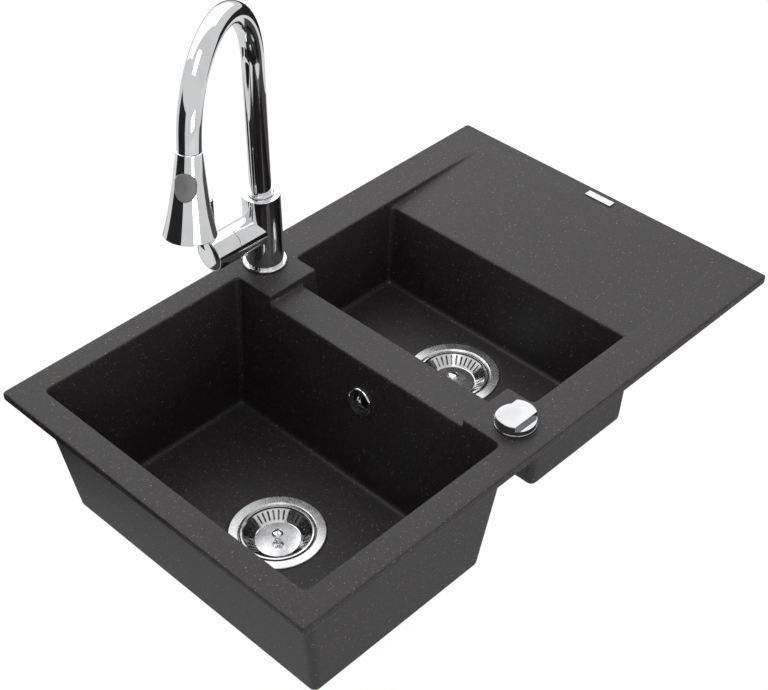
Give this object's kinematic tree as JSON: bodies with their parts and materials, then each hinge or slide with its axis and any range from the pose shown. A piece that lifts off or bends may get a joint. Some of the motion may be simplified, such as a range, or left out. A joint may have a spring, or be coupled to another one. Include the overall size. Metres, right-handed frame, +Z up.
{
  "type": "one and a half bowl sink",
  "caption": "Inset kitchen sink with a main bowl, a shallower half bowl, a drainer, basket wastes, a pop-up waste knob and a tap with a pull-out spray.",
  "frame": {"origin": "middle of the worktop cut-out, on the plane of the worktop's top, under the rim", "axes": "+X along the length from the main bowl towards the drainer, +Y from the front edge towards the tap, +Z up"},
  "size_m": [0.76, 0.48, 0.6591],
  "materials": {
    "granite": "speckled black stone composite, matt",
    "chrome": "polished",
    "steel": "satin",
    "brass": "plain",
    "black_rubber": "matt",
    "white_plastic": "matt",
    "black_plastic": "matt",
    "grey_plastic": "satin"
  },
  "bodies": {
    "sink": {"sink_casting": "granite", "badge_plate": "chrome", "overflow_cover": "chrome", "overflow_screw": "steel", "overflow_gasket": "black_rubber", "overflow_elbow": "black_plastic", "overflow_hose": "grey_plastic", "popup_knob_base": "chrome", "popup_knob_gasket": "black_rubber", "popup_knob_housing": "black_plastic", "popup_knob_nut": "black_plastic", "popup_cable": "black_plastic", "tap_base_gasket": "black_rubber", "tap_base_ring": "chrome", "tap_body": "chrome", "tap_shank": "brass", "tap_rubber_washer": "black_rubber", "tap_steel_washer": "steel", "tap_shank_nut": "brass", "mixing_cartridge": "white_plastic", "cartridge_nut": "brass", "spout_bearing": "white_plastic", "main_waste_flange": "steel", "main_flange_gasket": "black_rubber", "main_waste_body": "white_plastic", "main_body_gasket": "black_rubber", "main_waste_screw": "steel", "half_waste_flange": "steel", "half_flange_gasket": "black_rubber", "half_waste_body": "white_plastic", "half_body_gasket": "black_rubber", "half_waste_screw": "steel", "main_lifter_housing": "black_plastic"},
    "spout": {"spout_tube": "chrome", "spout_collar": "chrome", "spout_docking_ring": "black_plastic"},
    "spray_head": {"spray_head_shell": "chrome", "spray_face": "grey_plastic", "spray_aerator": "grey_plastic", "spray_hose_connector": "brass"},
    "spray_mode_button": {"spray_button": "grey_plastic"},
    "handle_swivel": {"cartridge_carrier": "white_plastic", "spindle_pin": "steel"},
    "handle": {"cartridge_spindle": "brass", "handle_barrel": "chrome", "handle_cap": "chrome", "handle_lever": "chrome", "handle_grub_screw": "steel"},
    "popup_knob": {"popup_knob_cap": "chrome", "popup_knob_shaft": "steel"},
    "main_basket": {"main_strainer_basket": "steel", "main_plug_seal": "black_rubber", "main_basket_knob": "chrome", "main_lifter_pin": "steel"},
    "half_basket": {"half_strainer_basket": "steel", "half_plug_seal": "black_rubber", "half_basket_knob": "chrome"}
  },
  "joints": [
    {"name": "spout_swivel", "type": "hinge", "parent": "sink", "child": "spout", "pos_m": [-0.0175, 0.21, 0.2], "axis": [0, 0, 1], "range_deg": [-28, 112]},
    {"name": "spray_pull_out", "type": "slide", "parent": "spout", "child": "spray_head", "axis": [-0.1641, -0.0887, -0.9825], "range_m": [0, 0.15], "stiffness_N_per_m": 20, "springref_m": -0.3},
    {"name": "spray_button_press", "type": "slide", "parent": "spray_head", "child": "spray_mode_button", "axis": [0.8195, 0.5422, -0.1858], "range_m": [0, 0.0015], "stiffness_N_per_m": 800, "springref_m": -0.001},
    {"name": "handle_turn", "type": "hinge", "parent": "sink", "child": "handle_swivel", "pos_m": [-0.0665, 0.21, 0.063], "axis": [1, 0, 0], "range_deg": [-45, 45]},
    {"name": "handle_tilt", "type": "hinge", "parent": "handle_swivel", "child": "handle", "pos_m": [-0.0665, 0.21, 0.063], "axis": [0, -1, 0], "range_deg": [0, 14]},
    {"name": "popup_knob_turn", "type": "hinge", "parent": "sink", "child": "popup_knob", "pos_m": [-0.025, -0.195, 0.015], "axis": [0, 0, 1], "range_deg": [0, 90]},
    {"name": "main_basket_lift", "type": "slide", "parent": "sink", "child": "main_basket", "axis": [0, 0, 1], "range_m": [0, 0.009]},
    {"name": "half_basket_lift", "type": "slide", "parent": "sink", "child": "half_basket", "axis": [0, 0, 1], "range_m": [0, 0.009]}
  ],
  "couplings": [
    {"joint": "popup_knob_turn", "follows": "main_basket_lift", "rad_per_m": 174.53}
  ]
}
